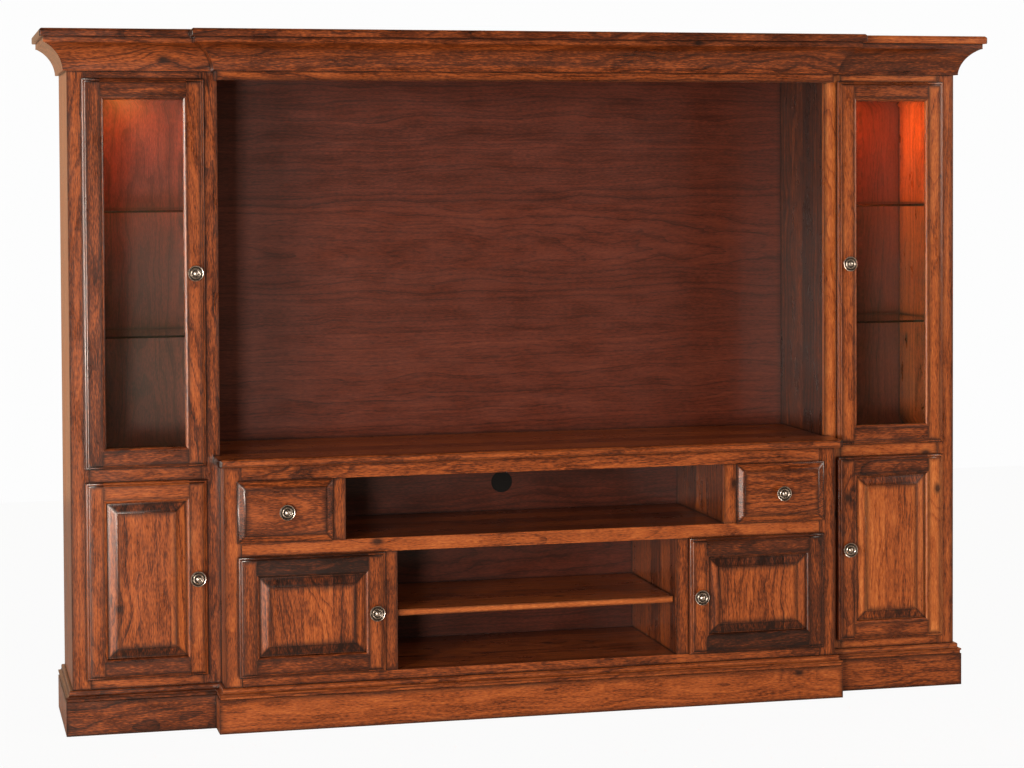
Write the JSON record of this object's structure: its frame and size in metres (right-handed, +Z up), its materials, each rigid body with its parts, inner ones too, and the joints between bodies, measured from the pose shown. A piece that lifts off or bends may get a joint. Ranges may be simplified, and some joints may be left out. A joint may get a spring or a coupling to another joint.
{
  "type": "wall unit",
  "caption": "Wide cherry wall unit: lit glass-door cabinets over cupboards at both ends of a media console with drawers, an open alcove above it and a crown moulding round the top.",
  "frame": {"origin": "centre of the unit's overall footprint, on the floor", "axes": "+X to the unit's right as seen from the front, +Y to the wall behind it, +Z up"},
  "size_m": [2.8934, 0.5358, 2.032],
  "materials": {
    "cherry": "dark cherry stain under satin lacquer, with black glaze in the recesses",
    "cherry_panel": "dark cherry veneered back panels, satin lacquer",
    "drawer_maple": "clear lacquered maple drawer boxes",
    "glass": "clear polished glass",
    "nickel": "antique nickel knobs, nickel-plated hinge cups and zinc-plated slide bars",
    "steel": "nickel-plated steel",
    "lamp": "dark ring with a frosted lens"
  },
  "bodies": {
    "cabinet": {"right_inner_side": "cherry", "left_inner_side": "cherry", "right_outer_side": "cherry", "left_outer_side": "cherry", "right_fixed_shelves": "cherry", "left_fixed_shelves": "cherry", "right_pier_back": "cherry_panel", "left_pier_back": "cherry_panel", "right_face_frame": "cherry", "left_face_frame": "cherry", "right_crown": "cherry", "left_crown": "cherry", "bridge_crown": "cherry", "right_cap": "cherry", "left_cap": "cherry", "bridge_cap": "cherry", "right_plinth": "cherry", "left_plinth": "cherry", "console_plinth": "cherry", "console_sides": "cherry", "console_floor": "cherry", "console_divider": "cherry", "console_back": "cherry_panel", "console_partitions": "cherry", "console_face_frame": "cherry", "console_deck": "cherry", "console_shelf": "cherry", "bridge_header": "cherry", "bridge_soffit": "cherry", "alcove_back": "cherry_panel", "cupboard_shelves": "cherry", "glass_shelves": "glass", "puck_lights": "lamp", "hinge_arms": "steel", "shelf_pins": "steel", "drawer_slides": "steel"},
    "right_glass_door": {"right_glass_door_frame": "cherry", "right_glass_door_pane": "glass", "right_glass_door_hardware": "nickel"},
    "right_cupboard_door": {"right_cupboard_door_frame": "cherry", "right_cupboard_door_panel": "cherry", "right_cupboard_door_hardware": "nickel"},
    "right_console_door": {"right_console_door_frame": "cherry", "right_console_door_panel": "cherry", "right_console_door_hardware": "nickel"},
    "right_drawer": {"right_drawer_front": "cherry", "right_drawer_box": "drawer_maple", "right_drawer_hardware": "nickel"},
    "left_glass_door": {"left_glass_door_frame": "cherry", "left_glass_door_pane": "glass", "left_glass_door_hardware": "nickel"},
    "left_cupboard_door": {"left_cupboard_door_frame": "cherry", "left_cupboard_door_panel": "cherry", "left_cupboard_door_hardware": "nickel"},
    "left_console_door": {"left_console_door_frame": "cherry", "left_console_door_panel": "cherry", "left_console_door_hardware": "nickel"},
    "left_drawer": {"left_drawer_front": "cherry", "left_drawer_box": "drawer_maple", "left_drawer_hardware": "nickel"}
  },
  "joints": [
    {"name": "right_glass_door_hinge", "type": "hinge", "parent": "cabinet", "child": "right_glass_door", "pos_m": [1.3194, -0.13605, 1.32945], "axis": [0, 0, 1], "range_deg": [0, 100]},
    {"name": "right_cupboard_door_hinge", "type": "hinge", "parent": "cabinet", "child": "right_cupboard_door", "pos_m": [1.3194, -0.13605, 0.44275], "axis": [0, 0, 1], "range_deg": [0, 100]},
    {"name": "right_console_door_hinge", "type": "hinge", "parent": "cabinet", "child": "right_console_door", "pos_m": [0.8914, -0.22145, 0.33275], "axis": [0, 0, 1], "range_deg": [0, 100]},
    {"name": "right_drawer_slide", "type": "slide", "parent": "cabinet", "child": "right_drawer", "axis": [0, -1, 0], "range_m": [0, 0.25]},
    {"name": "left_glass_door_hinge", "type": "hinge", "parent": "cabinet", "child": "left_glass_door", "pos_m": [-1.3194, -0.13605, 1.32945], "axis": [0, 0, -1], "range_deg": [0, 100]},
    {"name": "left_cupboard_door_hinge", "type": "hinge", "parent": "cabinet", "child": "left_cupboard_door", "pos_m": [-1.3194, -0.13605, 0.44275], "axis": [0, 0, -1], "range_deg": [0, 100]},
    {"name": "left_console_door_hinge", "type": "hinge", "parent": "cabinet", "child": "left_console_door", "pos_m": [-0.8914, -0.22145, 0.33275], "axis": [0, 0, -1], "range_deg": [0, 100]},
    {"name": "left_drawer_slide", "type": "slide", "parent": "cabinet", "child": "left_drawer", "axis": [0, -1, 0], "range_m": [0, 0.25]}
  ]
}
